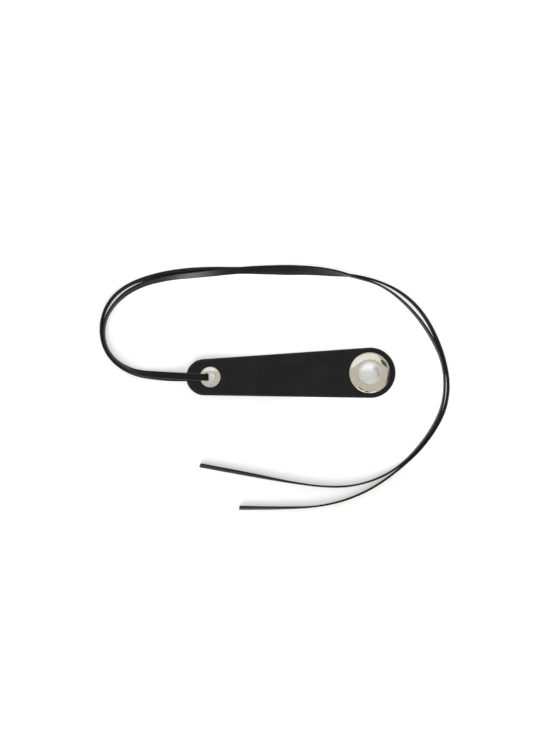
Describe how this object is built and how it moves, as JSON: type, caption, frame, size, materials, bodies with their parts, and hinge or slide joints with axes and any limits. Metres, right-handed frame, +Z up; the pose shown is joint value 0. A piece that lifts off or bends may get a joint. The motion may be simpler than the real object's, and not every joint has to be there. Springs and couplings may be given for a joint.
{
  "type": "leather wrap tie",
  "caption": "Tapered leather tab with a screwed-through domed concho at its wide end and an eyelet at its narrow end, with a flat leather lace folded through the eyelet to wrap and tie.",
  "frame": {"origin": "centre of the tab's footprint, on the surface that it lies on", "axes": "+X along the tab towards its wide end, +Y across it, +Z up out of its face side"},
  "size_m": [0.2554, 0.1795, 0.0122],
  "materials": {
    "face_leather": "satin smooth black, edges painted",
    "lining_leather": "matt black",
    "lace_leather": "satin black grain side, matt flesh side",
    "eyelet_nickel": "polished nickel plate",
    "concho_nickel": "polished nickel plate, faint spun lines",
    "dome_nickel": "soft polished nickel plate",
    "stud_brass": "turned",
    "screw_nickel": "turned and plated"
  },
  "bodies": {
    "tab": {"face_leather": "face_leather", "lining_leather": "lining_leather", "eyelet": "eyelet_nickel", "eyelet_washer": "eyelet_nickel"},
    "concho": {"rosette": "concho_nickel", "dome_cap": "dome_nickel", "stud": "stud_brass", "back_screw": "screw_nickel"},
    "lace": {"lace_upper_strand": "lace_leather", "lace_lower_strand": "lace_leather"}
  },
  "joints": [
    {"name": "concho_spin", "type": "hinge", "parent": "tab", "child": "concho", "pos_m": [0.05775, 0, 0.0054], "axis": [0, 0, 1], "continuous": true},
    {"name": "lace_swing", "type": "hinge", "parent": "tab", "child": "lace", "pos_m": [-0.05905, 0, 0.0039], "axis": [0, 0, 1], "range_deg": [-15, 15]}
  ]
}
